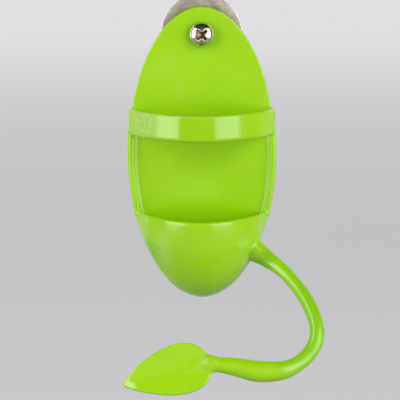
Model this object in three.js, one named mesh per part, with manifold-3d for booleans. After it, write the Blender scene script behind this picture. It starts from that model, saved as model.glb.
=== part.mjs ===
// Hanging feeder cup for a parrot cage, with a leaf perch and a clamp screw
// Millimetres. X points right, the front faces -Y and +Z is up.
// The origin is on the clamp screw's axis, in the plane of the back plate's rear face, against the cage wires.

import * as THREE from 'three';
import { mergeVertices } from 'three/addons/utils/BufferGeometryUtils.js';
import Module from 'manifold-3d';

const wasm = await Module();
wasm.setup();

// Back plate
const plateWidth = 55;
const plateHeight = 110;
const plateThickness = 2;
const screwToPlateTop = 10.2;
const plateSides = 80;

// Guard band across the front, above the window
const bandTopDrop = 27.5;
const bandHeight = 10;
const bandDepth = 24;
const bandCornerInset = 3.2;
const bandTaper = 0.5;

// Cup below the window
const rimDrop = 66.7;
const cupDepth = 23.2;
const cupCornerInset = 4;
const cupSideLean = 1.2;
const floorThickness = 2.4;

// Walls that the band, the rails and the cup share
const wall = 1.8;
const sideDepth = 8;
const frontBulge = 1.9;
const lipRadius = 0.7;
const railWidth = 1.7;
const railDepth = 1.3;

// Perch arm's flared root, inside the cup's right corner and clear of the plate, and its shoulder just outside
const armRootDrop = 78.9;
const armRootRadius = 5;
const armRootSink = 3.8;
const armRootOffPlate = 0.1;
const shoulderOut = 7.6;
const shoulderForward = 3.4;
const shoulderFall = 4.4;
const shoulderRadius = 3.3;

// Perch arm's slope and bends; a rise is above the perch, and behind or inset is from its furthest points
const armRadius = 2.65;
const armReach = 41.4;
const slopeShare = 0.35;
const slopeBow = 1.8;
const elbowInset = 2.8;
const elbowBehind = 16.5;
const elbowRise = 20;
const bendRadius = 2.75;
const bendBehind = 9;
const bendRise = 12.1;
const turnInset = 0.9;
const turnBehind = 6.2;
const turnRise = 7.4;
const cornerInset = 3.8;
const cornerBehind = 4.2;
const cornerRise = 3.6;
const returnInset = 7.7;
const returnBehind = 2.2;
const returnRise = 1;
const returnRadius = 2.9;
const runShare = 0.4;
const runBehind = 0.4;
const runRadius = 3.35;

// Standing part of the perch, before the leaf
const perchForward = 44;
const perchDrop = 116;
const standX = 20;
const standRadius = 3.8;
const standSag = 0.7;
const neckRadius = 2.5;

// Perch leaf at the arm's end
const leafBaseX = 2.9;
const leafRise = 2.1;
const leafLength = 31.6;
const leafDroop = 7.1;
const leafForward = 2;
const leafWidth = 18.4;
const leafThickness = 2.4;
const leafTipThickness = 1.2;
const leafTilt = 28;
const leafFold = 1.3;

// Clamp screw, M5 by 20 with a cross recess
const threadDiameter = 5;
const threadPitch = 0.8;
const screwLength = 20;
const headDiameter = 9.5;
const headHeight = 3.7;
const recessWidth = 4.8;
const recessSlot = 1.15;
const recessDepth = 2.3;
const recessTaper = 0.55;
const screwHoleClearance = 0.25;
const seatGap = 0.1;

// Clamp washer and wing nut, behind the cage wires
const wireGap = 2.2;
const washerDiameter = 30;
const washerThickness = 1.5;
const washerEdge = 0.15;
const nutHeight = 6;
const nutBaseDiameter = 11;
const nutTopDiameter = 9;
const nutThreadGap = 0.08;
const nutEdge = 0.3;
const wingSpan = 26;
const wingHeight = 13;
const wingThickness = 2.2;
const wingFoot = 1.2;
const earRadius = 3.2;
const wingTurn = 24;

// How far a cutting shape runs past the face that it opens
const cutOver = 1;

// Lips of the band and the cup's rim: pairs of distance from the edge and how far the wall is set in there
const lip = [[0, lipRadius * 0.6], [lipRadius * 0.3, lipRadius * 0.2], [lipRadius, 0]];

// Levels and radii that follow from the sizes
const plateFront = -plateThickness;
const plateCentreZ = screwToPlateTop - plateHeight / 2;
const plateBottomZ = screwToPlateTop - plateHeight;
const bandTopZ = -bandTopDrop;
const bandBottomZ = bandTopZ - bandHeight;
const rimZ = -rimDrop;
const cupHeight = rimZ - plateBottomZ;
const cupCornerHalfWidth = plateHalfWidth(rimZ) - cupCornerInset;
const holeRadius = threadDiameter / 2 + screwHoleClearance;
const washerFront = wireGap;
const nutFront = washerFront + washerThickness + seatGap;

// Materials
const greenPlastic = { color: 0x9ed624, roughness: 0.22, metalness: 0 };
const nickel = { color: 0xb9b1a3, roughness: 0.2, metalness: 1 };
const dullSteel = { color: 0xa39e92, roughness: 0.42, metalness: 1 };
const zinc = { color: 0xb4b6b8, roughness: 0.38, metalness: 1 };

// Geometry with its shared vertices merged, no flat triangles and its faces pointing out
function welded(source) {
  const bare = source.clone();
  bare.deleteAttribute('normal');
  bare.deleteAttribute('uv');
  const merged = mergeVertices(bare, 1e-5);
  const from = merged.index.array;
  const position = merged.getAttribute('position');
  const corners = [new THREE.Vector3(), new THREE.Vector3(), new THREE.Vector3()];
  const index = [];
  let volume = 0;
  for (let i = 0; i < from.length; i += 3) {
    const [a, b, c] = [from[i], from[i + 1], from[i + 2]];
    if (a === b || b === c || c === a) continue;
    index.push(a, b, c);
    [a, b, c].forEach((vertex, k) => corners[k].fromBufferAttribute(position, vertex));
    volume += corners[0].dot(corners[1].cross(corners[2]));
  }
  if (volume < 0) index.reverse();
  merged.setIndex(index);
  return merged;
}

function solid(geometry) {
  const closed = welded(geometry);
  return new wasm.Manifold(new wasm.Mesh({
    numProp: 3,
    vertProperties: new Float32Array(closed.getAttribute('position').array),
    triVerts: new Uint32Array(closed.index.array),
  }));
}

function geometryOf(manifold) {
  const mesh = manifold.getMesh();
  const geometry = new THREE.BufferGeometry();
  geometry.setAttribute('position', new THREE.BufferAttribute(new Float32Array(mesh.vertProperties), 3));
  geometry.setIndex(new THREE.BufferAttribute(new Uint32Array(mesh.triVerts), 1));
  return geometry;
}

// Closed skin through rings of equally many points, each end filled by a fan round the ring's middle
function loft(rings) {
  const sides = rings[0].length;
  const points = rings.flat();
  const index = [];
  for (let ring = 0; ring < rings.length - 1; ring++) {
    for (let k = 0; k < sides; k++) {
      const a = ring * sides + k;
      const b = ring * sides + (k + 1) % sides;
      index.push(a, b, a + sides, b, b + sides, a + sides);
    }
  }
  [0, rings.length - 1].forEach((ring, end) => {
    const middle = points.length;
    const sum = rings[ring].reduce((total, point) => total.add(point), new THREE.Vector3());
    points.push(sum.divideScalar(sides));
    for (let k = 0; k < sides; k++) {
      const a = ring * sides + k;
      const b = ring * sides + (k + 1) % sides;
      index.push(middle, end ? a : b, end ? b : a);
    }
  });
  const geometry = new THREE.BufferGeometry().setFromPoints(points);
  geometry.setIndex(index);
  return welded(geometry);
}

// Box from its lowest to its highest corner
function block(low, high) {
  const size = high.map((value, axis) => value - low[axis]);
  const middle = high.map((value, axis) => (value + low[axis]) / 2);
  return new THREE.BoxGeometry(...size).translate(...middle);
}

// Solid of revolution about the screw axis, from [radius, y] pairs
function turned(profile, sides) {
  return welded(new THREE.LatheGeometry(profile.map(([radius, y]) => new THREE.Vector2(radius, y)), sides));
}

// An outline in the XZ plane, given thickness forward from the plate's rear face
function extrudedForward(outline, depth) {
  const options = { depth, bevelEnabled: false, curveSegments: plateSides / 2 };
  const flat = new THREE.ExtrudeGeometry(outline, options);
  return flat.applyMatrix4(new THREE.Matrix4().set(1, 0, 0, 0, 0, 0, -1, 0, 0, 1, 0, 0, 0, 0, 0, 1));
}

// Half the plate's width at a height
function plateHalfWidth(z) {
  const rise = (z - plateCentreZ) / (plateHeight / 2);
  return (plateWidth / 2) * Math.sqrt(Math.max(0, 1 - rise * rise));
}

// One level of the front shell: a side wall that leans in to a soft corner, then a bowed front
// The distances forward are measured from the plate's front face, and `rear` runs past it for a cutting tool
function shellRing({ halfWidth, cornerHalfWidth, depth, side, z, rear = 0 }) {
  const steps = 12;
  const corner = Math.min(halfWidth, cornerHalfWidth);
  const half = [[halfWidth, -rear], [(halfWidth + corner) / 2, side / 2]];
  for (let k = 0; k <= steps; k++) {
    const across = Math.cos((k / steps) * Math.PI / 2);
    half.push([corner * across, side + (depth - side) * (1 - across ** frontBulge)]);
  }
  const mirrored = half.slice(0, -1).reverse().map(([x, forward]) => [-x, forward]);
  return [...half, ...mirrored].map(([x, forward]) => new THREE.Vector3(x, plateFront - forward, z));
}

function backPlate() {
  const outline = new THREE.Shape();
  outline.absellipse(0, plateCentreZ, plateWidth / 2, plateHeight / 2, 0, Math.PI * 2);
  const screwHole = new THREE.Path();
  screwHole.absarc(0, 0, holeRadius, 0, Math.PI * 2, true);
  outline.holes.push(screwHole);
  return geometryOf(solid(extrudedForward(outline, plateThickness)).add(sideRails()));
}

// Low side walls that join the band to the cup along the plate's edges, one body with the plate
function sideRails() {
  const outline = new THREE.Shape();
  outline.absellipse(0, plateCentreZ, plateWidth / 2, plateHeight / 2, 0, Math.PI * 2);
  const inside = new THREE.Path();
  const [innerHalfWidth, innerHalfHeight] = [plateWidth / 2 - railWidth, plateHeight / 2 - railWidth];
  inside.absellipse(0, plateCentreZ, innerHalfWidth, innerHalfHeight, 0, Math.PI * 2, true);
  outline.holes.push(inside);
  const rim = extrudedForward(outline, plateThickness + railDepth);
  const window = block([-plateWidth, -plateWidth, rimZ], [plateWidth, plateWidth, bandBottomZ]);
  return solid(rim).intersect(solid(window));
}

function guardBand() {
  const level = (z, setIn) => ({
    halfWidth: plateWidth / 2 - setIn,
    cornerHalfWidth: plateWidth / 2 - bandCornerInset - setIn,
    depth: bandDepth - bandTaper * (bandTopZ - z) / bandHeight - setIn,
    side: sideDepth - setIn / 2,
    z,
  });
  const outer = [
    ...lip.map(([drop, setIn]) => level(bandTopZ - drop, setIn)),
    ...[...lip].reverse().map(([rise, setIn]) => level(bandBottomZ + rise, setIn)),
  ];
  const inner = [level(bandTopZ + cutOver, wall), level(bandBottomZ - cutOver, wall)];
  const shell = solid(loft(outer.map((ring) => shellRing(ring))));
  const room = solid(loft(inner.map((ring) => shellRing({ ...ring, rear: cutOver }))));
  return geometryOf(shell.subtract(room));
}

// The cup's outline at a fall from its rim, a share of its height, for the skin or for the hollow inside
function cupLevel(fall, inset) {
  const shrink = Math.sqrt(1 - fall * fall);
  const halfWidth = plateHalfWidth(rimZ - cupHeight * fall) - inset * shrink;
  return {
    halfWidth,
    cornerHalfWidth: Math.min(cupCornerHalfWidth - inset, halfWidth - cupSideLean * shrink),
    depth: (cupDepth - inset) * shrink,
    side: (sideDepth - inset / 2) * shrink,
  };
}

// Levels from the rim down, closer together towards the bottom, where floorRise lifts the hollow's
function cupLevels(inset, floorRise, levels) {
  return Array.from({ length: levels }, (_, k) => {
    const fall = Math.sin((k / levels) * Math.PI / 2);
    return { ...cupLevel(fall, inset), z: rimZ - (cupHeight - floorRise) * fall };
  });
}

function foodCup() {
  const outerLevels = cupLevels(0, 0, 16);
  const rim = lip.map(([drop, setIn]) => ({
    ...outerLevels[0],
    halfWidth: plateHalfWidth(rimZ - drop) - setIn,
    cornerHalfWidth: cupCornerHalfWidth - setIn,
    depth: cupDepth - setIn,
    z: rimZ - drop,
  }));
  const lowest = { halfWidth: 0, cornerHalfWidth: 0, depth: 0, side: 0, z: plateBottomZ };
  const outer = [...rim, ...outerLevels.slice(1), lowest].map((ring) => shellRing(ring));
  const cavityLevels = cupLevels(wall, floorThickness, 14);
  const mouth = { ...cavityLevels[0], z: rimZ + cutOver };
  const cavity = [mouth, ...cavityLevels].map((ring) => shellRing({ ...ring, rear: cutOver }));
  const skin = solid(loft(outer)).add(solid(armRoot()));
  return geometryOf(skin.subtract(solid(loft(cavity))));
}

// Centreline of the arm and the leaf, with the section's radius at each of its points
const rootX = cupLevel((armRootDrop - rimDrop) / cupHeight, 0).cornerHalfWidth - armRootSink;
const rootForward = plateThickness + armRootOffPlate + armRootRadius;
const root = new THREE.Vector3(rootX, -rootForward, -armRootDrop);
const shoulder = new THREE.Vector3(shoulderOut, -shoulderForward, -shoulderFall).add(root);
const elbow = new THREE.Vector3(armReach - elbowInset, elbowBehind - perchForward, elbowRise - perchDrop);
const slope = shoulder.clone().lerp(elbow, slopeShare);
const leafBaseZ = leafRise - perchDrop;
const leafMiddleX = leafBaseX - leafLength / 2;
const leafMiddleZ = leafBaseZ - leafDroop * 0.46;
const runX = standX + (armReach - standX) * runShare;
const perchPoints = [
  { at: root.toArray(), radius: armRootRadius },
  { at: shoulder.toArray(), radius: shoulderRadius },
  { at: [slope.x + slopeBow, slope.y, slope.z], radius: armRadius },
  { at: elbow.toArray(), radius: armRadius },
  { at: [armReach, bendBehind - perchForward, bendRise - perchDrop], radius: bendRadius },
  { at: [armReach - turnInset, turnBehind - perchForward, turnRise - perchDrop], radius: bendRadius },
  { at: [armReach - cornerInset, cornerBehind - perchForward, cornerRise - perchDrop], radius: bendRadius },
  { at: [armReach - returnInset, returnBehind - perchForward, returnRise - perchDrop], radius: returnRadius },
  { at: [runX, runBehind - perchForward, -perchDrop - standSag], radius: runRadius },
  { at: [standX, -perchForward, -perchDrop - standSag], radius: standRadius },
  { at: [(standX + leafBaseX) / 2, -perchForward, (leafBaseZ - perchDrop) / 2], radius: neckRadius * 1.25 },
  { at: [leafBaseX, -perchForward, leafBaseZ], radius: neckRadius },
  { at: [leafMiddleX, -perchForward - leafForward / 4, leafMiddleZ], radius: neckRadius },
  { at: [leafBaseX - leafLength, -perchForward - leafForward, leafBaseZ - leafDroop], radius: neckRadius },
];
const rootIndex = 1;
const leafIndex = perchPoints.length - 3;
const lastIndex = perchPoints.length - 1;
const centreline = new THREE.CatmullRomCurve3(perchPoints.map(({ at }) => new THREE.Vector3(...at)));
const radii = new THREE.SplineCurve(perchPoints.map(({ radius }, k) => new THREE.Vector2(k, radius)));

// A ring square to the centreline at a point's number or between two; shape gives [across, out] by angle
function perchRing(number, shape) {
  const sides = 16;
  const middle = centreline.getPoint(number / lastIndex);
  const along = centreline.getTangent(number / lastIndex);
  const tilt = THREE.MathUtils.degToRad(leafTilt);
  const face = new THREE.Vector3(0, -Math.cos(tilt), Math.sin(tilt));
  const out = face.clone().addScaledVector(along, -face.dot(along)).normalize();
  const across = new THREE.Vector3().crossVectors(along, out);
  return Array.from({ length: sides }, (_, k) => {
    const [sideways, outwards] = shape((k / sides) * Math.PI * 2);
    return middle.clone().addScaledVector(across, sideways).addScaledVector(out, outwards);
  });
}

function armRing(number) {
  const radius = radii.getPoint(number / lastIndex).y;
  return perchRing(number, (angle) => [radius * Math.cos(angle), radius * Math.sin(angle)]);
}

function armBetween(first, last, perPoint) {
  const count = (last - first) * perPoint;
  return Array.from({ length: count + 1 }, (_, k) => armRing(first + k / perPoint));
}

// Flared root, which is one body with the cup
function armRoot() {
  return loft(armBetween(0, rootIndex, 4));
}

function perchArm() {
  return loft(armBetween(rootIndex, leafIndex, 6));
}

// Half-width of the leaf as a share of its widest, along its length from 0 to 1
function leafShare(along) {
  return Math.sin(Math.PI * along ** 0.62) ** 0.7;
}

function perchLeaf() {
  const levels = 20;
  const rings = [armRing(leafIndex)];
  for (let k = 1; k < levels; k++) {
    const along = 1 - Math.cos((k / levels) * Math.PI / 2) ** 1.2;
    const ease = Math.min(1, along / 0.12);
    const halfWidth = THREE.MathUtils.lerp(neckRadius, (leafWidth / 2) * leafShare(along), Math.sqrt(ease));
    const flat = THREE.MathUtils.lerp(leafThickness, leafTipThickness, along) / 2;
    const halfThickness = THREE.MathUtils.lerp(neckRadius, flat, Math.sqrt(ease));
    rings.push(perchRing(leafIndex + along * (lastIndex - leafIndex), (angle) => {
      const sideways = halfWidth * Math.cos(angle);
      const fold = leafFold * ease * Math.abs(sideways) / (leafWidth / 2);
      return [sideways, halfThickness * Math.sin(angle) + fold];
    }));
  }
  const tip = centreline.getPoint(1);
  rings.push(rings[0].map(() => tip.clone()));
  return loft(rings);
}

// Outline of the cross recess at one depth, with arms on the diagonals
function crossRing(reach, slot, y) {
  const [r, s] = [reach / 2, slot / 2];
  const corners = [[r, -s], [r, s], [s, s], [s, r], [-s, r], [-s, s], [-r, s], [-r, -s], [-s, -s], [-s, -r],
    [s, -r], [s, -s]];
  const turn = Math.PI / 4;
  return corners.map(([a, b]) => new THREE.Vector3(
    a * Math.cos(turn) - b * Math.sin(turn),
    y,
    a * Math.sin(turn) + b * Math.cos(turn),
  ));
}

function clampScrew() {
  const seat = plateFront - seatGap;
  const radius = threadDiameter / 2;
  const tip = seat + screwLength;
  const chamfer = threadPitch * 0.6;
  const steps = 10;
  const dome = [];
  for (let k = 0; k <= steps; k++) {
    const angle = (k / steps) * Math.PI / 2;
    const share = 2 / 2.6;
    dome.push([
      k === 0 ? 0 : (headDiameter / 2) * Math.sin(angle) ** share,
      seat - (k === steps ? 0 : headHeight * Math.cos(angle) ** share),
    ]);
  }
  const profile = [...dome, [radius, seat], [radius, tip - chamfer], [radius - chamfer, tip], [0, tip]];
  const top = seat - headHeight;
  const recess = loft([
    crossRing(recessWidth, recessSlot, top - cutOver),
    crossRing(recessWidth, recessSlot, top),
    crossRing(recessWidth * (1 - recessTaper), recessSlot * (1 - recessTaper / 2), top + recessDepth),
  ]);
  return geometryOf(solid(turned(profile, 48)).subtract(solid(recess)));
}

function clampWasher() {
  const [bore, rim] = [holeRadius, washerDiameter / 2];
  const [front, back] = [washerFront, washerFront + washerThickness];
  return turned([
    [bore, front], [rim - washerEdge, front], [rim, front + washerEdge], [rim, back - washerEdge],
    [rim - washerEdge, back], [bore, back], [bore, front],
  ], 64);
}

// Right wing's outline in the plane of the nut's axis, from its foot round the ear and back to the hub's top
function wingOutline() {
  const ear = [wingSpan / 2 - earRadius, wingHeight - earRadius];
  const [base, top] = [nutBaseDiameter / 2, nutTopDiameter / 2];
  const outline = new THREE.Shape();
  outline.moveTo(top / 2, wingFoot);
  outline.lineTo(base, wingFoot);
  outline.quadraticCurveTo(wingSpan / 2 - wingFoot, wingFoot * 2, wingSpan / 2, ear[1]);
  outline.absarc(...ear, earRadius, 0, Math.PI * 0.86, false);
  outline.quadraticCurveTo(top + earRadius / 2, nutHeight, top / 2, nutHeight - nutEdge);
  return outline;
}

function wingNut() {
  const bore = threadDiameter / 2 + nutThreadGap;
  const [base, top] = [nutBaseDiameter / 2, nutTopDiameter / 2];
  const nutBack = nutFront + nutHeight;
  const hub = [
    [0, nutFront], [base - nutEdge, nutFront], [base, nutFront + nutEdge],
    [top, nutBack - nutEdge], [top - nutEdge, nutBack], [0, nutBack],
  ];
  const wing = new THREE.ExtrudeGeometry(wingOutline(), {
    depth: wingThickness - nutEdge * 2,
    bevelThickness: nutEdge,
    bevelSize: nutEdge,
    bevelOffset: -nutEdge,
    bevelSegments: 2,
    curveSegments: 14,
  });
  wing.translate(0, nutFront, nutEdge - wingThickness / 2);
  const otherWing = wing.clone().rotateY(Math.PI);
  const drill = turned([[0, nutFront - cutOver], [bore, nutFront - cutOver], [bore, nutBack + cutOver],
    [0, nutBack + cutOver]], 48);
  const nut = solid(turned(hub, 48)).add(solid(wing)).add(solid(otherWing)).subtract(solid(drill));
  return geometryOf(nut).rotateY(THREE.MathUtils.degToRad(wingTurn));
}

function piece(name, geometry, look) {
  geometry.computeVertexNormals();
  const mesh = new THREE.Mesh(geometry, new THREE.MeshStandardMaterial(look));
  mesh.name = name;
  return mesh;
}

// The green moulding is one piece in the hand, kept here as the five sub-parts that it joins
const moulding = new THREE.Group();
moulding.add(
  piece('back_plate', backPlate(), greenPlastic),
  piece('guard_band', guardBand(), greenPlastic),
  piece('food_cup', foodCup(), greenPlastic),
  piece('perch_arm', perchArm(), greenPlastic),
  piece('perch_leaf', perchLeaf(), greenPlastic),
);

const clamp = new THREE.Group();
clamp.add(
  piece('clamp_screw', clampScrew(), nickel),
  piece('clamp_washer', clampWasher(), dullSteel),
  piece('wing_nut', wingNut(), zinc),
);

const feeder = new THREE.Group();
feeder.add(moulding, clamp);

export default feeder;
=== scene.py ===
"""Hanging feeder cup for a parrot cage: looks, stage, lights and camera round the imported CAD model.

Lengths named here are in millimetres, and meshes are turned into metres when they are made.
The green moulding is one skin: a signed distance, negative inside, is meshed where it is zero.
Its points are (x, f, z), where f is the distance forward from the plate's rear face, so y = -f.
"""

import math

import bpy
import numpy as np
from mathutils import Euler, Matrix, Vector


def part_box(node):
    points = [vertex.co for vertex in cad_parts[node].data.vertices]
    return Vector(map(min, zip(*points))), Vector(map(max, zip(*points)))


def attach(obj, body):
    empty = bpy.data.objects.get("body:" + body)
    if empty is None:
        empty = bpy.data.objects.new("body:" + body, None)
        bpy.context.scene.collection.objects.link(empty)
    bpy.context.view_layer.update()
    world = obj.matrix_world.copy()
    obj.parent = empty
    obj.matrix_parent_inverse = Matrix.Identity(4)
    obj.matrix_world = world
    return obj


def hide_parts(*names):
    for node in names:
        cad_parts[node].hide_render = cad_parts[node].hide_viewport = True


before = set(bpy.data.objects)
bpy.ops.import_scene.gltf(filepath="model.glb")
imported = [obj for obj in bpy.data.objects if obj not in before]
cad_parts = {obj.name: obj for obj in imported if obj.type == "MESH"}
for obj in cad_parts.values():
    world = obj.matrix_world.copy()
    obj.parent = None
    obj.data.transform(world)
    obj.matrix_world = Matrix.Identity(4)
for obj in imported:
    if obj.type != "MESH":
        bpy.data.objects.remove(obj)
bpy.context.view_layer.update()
# A millimetre in metres
MM = 0.001


def box_mm(node):
    """Lowest and highest corner of a CAD node, in millimetres."""
    low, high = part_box(node)
    return np.array(low) / MM, np.array(high) / MM


# Sizes from the frame, in millimetres
plate_low, plate_high = box_mm("back_plate")
band_low, band_high = box_mm("guard_band")
cup_low, cup_high = box_mm("food_cup")
head_low, head_high = box_mm("clamp_screw")
washer_low, washer_high = box_mm("clamp_washer")
nut_low = box_mm("wing_nut")[0]

PLATE_HALF_WIDTH = plate_high[0]
PLATE_HALF_HEIGHT = (plate_high[2] - plate_low[2]) / 2
PLATE_CENTRE_Z = (plate_high[2] + plate_low[2]) / 2
PLATE_THICKNESS = -band_high[1]
RAIL_FRONT = -plate_low[1]
BAND_TOP, BAND_BOTTOM = band_high[2], band_low[2]
BAND_DEPTH = -band_low[1] - PLATE_THICKNESS
RIM_Z = cup_high[2]
CUP_HEIGHT = RIM_Z - plate_low[2]
CUP_DEPTH = -cup_low[1] - PLATE_THICKNESS

# Sizes of the moulding's details, in millimetres
PLATE_EDGE = 0.55
HOLE_RADIUS, HOLE_EDGE = 2.75, 0.3
RAIL_WIDTH, RAIL_EDGE = 1.7, 0.6
# How far the rails run into the band and the cup
RAIL_RUN_IN = 1
# The band's and the cup's walls start inside the plate, this far forward of its rear face
WALL_START = 0.4
WALL = 1.8
SIDE_DEPTH = 8.0
BULGE = 1.9
BAND_TAPER = 0.5
BAND_CORNER = PLATE_HALF_WIDTH - 3.2
CUP_CORNER_INSET = 4.0
CUP_LEAN = 1.2
# The cup is worked out down to this share of its height, just above its foot
CUP_FOOT_SHARE = 0.9998
LIP = 0.85
BAND_UNDERSIDE = 1.7
BAND_CORNER_SOFTNESS, CUP_CORNER_SOFTNESS = 1.5, 0.9
FILLET = 0.9
RAIL_FILLET = 2.3

# Perch centreline from inside the cup to the leaf's tip: x, forward, z and the section's radius
PERCH = [
    (16.7, 7.1, -78.9, 5.0), (24.3, 10.5, -83.3, 3.3), (31.1, 16.5, -87.7, 2.65),
    (38.6, 27.5, -96.0, 2.65), (41.4, 35.0, -103.9, 2.72), (40.5, 37.8, -108.6, 2.75),
    (37.6, 39.8, -112.4, 2.75), (33.7, 41.8, -115.0, 2.9), (28.6, 43.6, -116.6, 3.4),
    (20.0, 44.1, -116.8, 3.9), (11.5, 44.0, -115.15, 3.3), (2.9, 44.0, -113.9, 2.5),
    (-28.7, 46.0, -121.0, 2.5),
]
LEAF_START, LEAF_END = 11, 12
LEAF_WIDTH = 18.4
LEAF_THICKNESS, LEAF_TIP_THICKNESS = 2.4, 1.5
LEAF_TILT = 28.0
LEAF_FOLD = 1.3
LEAF_ARCH = 0.45
RIB_DEPTH, RIB_WIDTH = 0.12, 0.6
CURL_LENGTH, CURL_RADIUS = 6.5, 9.0
LEAF_EDGE = 0.72
FOLD_SOFTNESS = 1.0
# Powers of the leaf's outline: how near its base it is widest, and how blunt its ends are
LEAF_WIDEST, LEAF_BLUNTNESS = 0.62, 0.7
LEAF_OUTLINE_POINTS = 57
# The midrib fades in over the first part of the leaf's length and out before its end
RIB_FADE_IN, RIB_END, RIB_FADE_OUT = 8, 0.9, 4
ARM_FILLET = 0.7
NECK_FILLET = 2.0
NECK_LENGTH, NECK_END_RADIUS = 9.5, 0.5
# The arm stops inside the cup's wall, at this share of its thickness
ARM_END_SHARE = 0.9
# A shape is worked out only this far from it, and counts as far away elsewhere
WORKED_OUT, FAR = 6, 40.0
LEAF_SIDE_REACH, LEAF_UP_REACH = 9, 16


# Signed distances
TINY = 1e-6


def smooth_max(a, b, k):
    """What lies inside both a and b, blended where they differ by less than k."""
    h = np.maximum(k - np.abs(a - b), 0) / k
    return np.maximum(a, b) + h * h * k / 4


def smooth_min(a, b, k):
    """What lies inside a or b, blended where they differ by less than k."""
    return -smooth_max(-a, -b, k)


def rounded(a, b, r):
    """What lies inside both a and b, with their shared edge rounded to radius r."""
    a, b = a + r, b + r
    return np.minimum(np.maximum(a, b), 0) + np.hypot(np.maximum(a, 0), np.maximum(b, 0)) - r


def oval(x, z):
    """The plate's elliptical outline."""
    rise = z - PLATE_CENTRE_Z
    k0 = np.hypot(x / PLATE_HALF_WIDTH, rise / PLATE_HALF_HEIGHT)
    k1 = np.hypot(x / PLATE_HALF_WIDTH ** 2, rise / PLATE_HALF_HEIGHT ** 2)
    return k0 * (k0 - 1) / np.maximum(k1, TINY)


def plate_half_width(z):
    """Half the plate's width at a height."""
    rise = (z - PLATE_CENTRE_Z) / PLATE_HALF_HEIGHT
    return PLATE_HALF_WIDTH * np.sqrt(np.maximum(1 - rise * rise, TINY))


def bowed(x, f, half, corner, side, depth, softness):
    """A side wall that leans in to a soft corner, then a bowed front: below 0 inside, not a distance."""
    across = np.abs(x)
    lean = (half - corner) / side
    wall = (across - (half - lean * np.maximum(f, 0))) / np.sqrt(1 + lean * lean)
    share = across / corner
    bow = side + (depth - side) * (1 - share ** BULGE)
    slope = (depth - side) * BULGE / corner * share ** (BULGE - 1)
    return smooth_max(wall, (f - bow) / np.sqrt(1 + slope * slope), softness)


def band_outline(x, f, z):
    """The band's outer face, which tapers a little downwards."""
    drop = np.clip((BAND_TOP - z) / (BAND_TOP - BAND_BOTTOM), 0, 1)
    depth = BAND_DEPTH - BAND_TAPER * drop
    return bowed(x, f - PLATE_THICKNESS, PLATE_HALF_WIDTH, BAND_CORNER, SIDE_DEPTH, depth,
                 BAND_CORNER_SOFTNESS)


def cup_outline(x, f, z):
    """The cup's outer face, which shrinks to nothing at the plate's foot."""
    fall = np.clip((RIM_Z - z) / CUP_HEIGHT, 0, CUP_FOOT_SHARE)
    shrink = np.sqrt(1 - fall * fall)
    half = plate_half_width(np.minimum(RIM_Z, np.maximum(z, RIM_Z - CUP_HEIGHT * CUP_FOOT_SHARE)))
    corner = np.minimum(plate_half_width(RIM_Z) - CUP_CORNER_INSET, half - CUP_LEAN * shrink)
    return bowed(x, f - PLATE_THICKNESS, half, corner, SIDE_DEPTH * shrink, CUP_DEPTH * shrink,
                 CUP_CORNER_SOFTNESS)


def as_distance(outline, x, f, z, e=0.02):
    """An outline function scaled by its slope, so that it is nearly a distance close to its surface."""
    g = outline(x, f, z)
    gx, gf, gz = outline(x + e, f, z) - g, outline(x, f + e, z) - g, outline(x, f, z + e) - g
    return g * e / np.maximum(np.sqrt(gx * gx + gf * gf + gz * gz), 0.3 * e)


def spline(points, per):
    """Centripetal Catmull-Rom curve through the points, in per steps a point, with the radius as a spline."""
    place, radius = np.array(points)[:, :3], np.array(points)[:, 3]
    out = []
    for i in range(len(points) - 1):
        p1, p2 = place[i], place[i + 1]
        p0 = place[i - 1] if i else 2 * p1 - p2
        p3 = place[i + 2] if i + 2 < len(points) else 2 * p2 - p1
        d0, d1, d2 = (np.linalg.norm(b - a) ** 0.5 for a, b in ((p0, p1), (p1, p2), (p2, p3)))
        t1 = ((p1 - p0) / d0 - (p2 - p0) / (d0 + d1) + (p2 - p1) / d1) * d1
        t2 = ((p2 - p1) / d1 - (p3 - p1) / (d1 + d2) + (p3 - p2) / d2) * d1
        r1, r2 = radius[i], radius[i + 1]
        s1 = (r2 - radius[max(i - 1, 0)]) / 2
        s2 = (radius[min(i + 2, len(points) - 1)] - r1) / 2
        for k in range(per + (i == len(points) - 2)):
            t = k / per
            h1, h2 = 2 * t ** 3 - 3 * t ** 2 + 1, -2 * t ** 3 + 3 * t ** 2
            g1, g2 = t ** 3 - 2 * t ** 2 + t, t ** 3 - t ** 2
            out.append([*(h1 * p1 + g1 * t1 + h2 * p2 + g2 * t2), h1 * r1 + g1 * s1 + h2 * r2 + g2 * s2])
    return np.array(out)


# Steps of the perch's centreline from one point to the next
PER = 24
# Places worked out at a time, to save memory
CHUNK = 40000
# How far a place may slide from the nearest step, as a share of one
SLIDE = 0.7
track = spline(PERCH[:LEAF_START + 1], PER)
track_at = track[:, :3]
track_along = np.gradient(track_at, axis=0) * PER
track_bend = np.gradient(track_along, axis=0) * PER


def arm_distance(p):
    """The perch's arm: from the nearest place on its centreline, refined between the track's points."""
    nearest = np.empty(len(p), int)
    for start in range(0, len(p), CHUNK):
        part = p[start:start + CHUNK]
        nearest[start:start + CHUNK] = ((track_at ** 2).sum(1) - 2 * part @ track_at.T).argmin(1)
    at, along, bend = track_at[nearest], track_along[nearest], track_bend[nearest]
    offset = p - at
    step = (offset * along).sum(1) / np.maximum((along ** 2).sum(1) - (offset * bend).sum(1), 1.0)
    number = np.clip(nearest / PER + np.clip(step, -SLIDE / PER, SLIDE / PER), 0, LEAF_START)
    step = (number - nearest / PER)[:, None]
    radius = np.interp(number, np.arange(len(track)) / PER, track[:, 3])
    return np.linalg.norm(offset - along * step - bend * step * step / 2, axis=1) - radius


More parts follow.
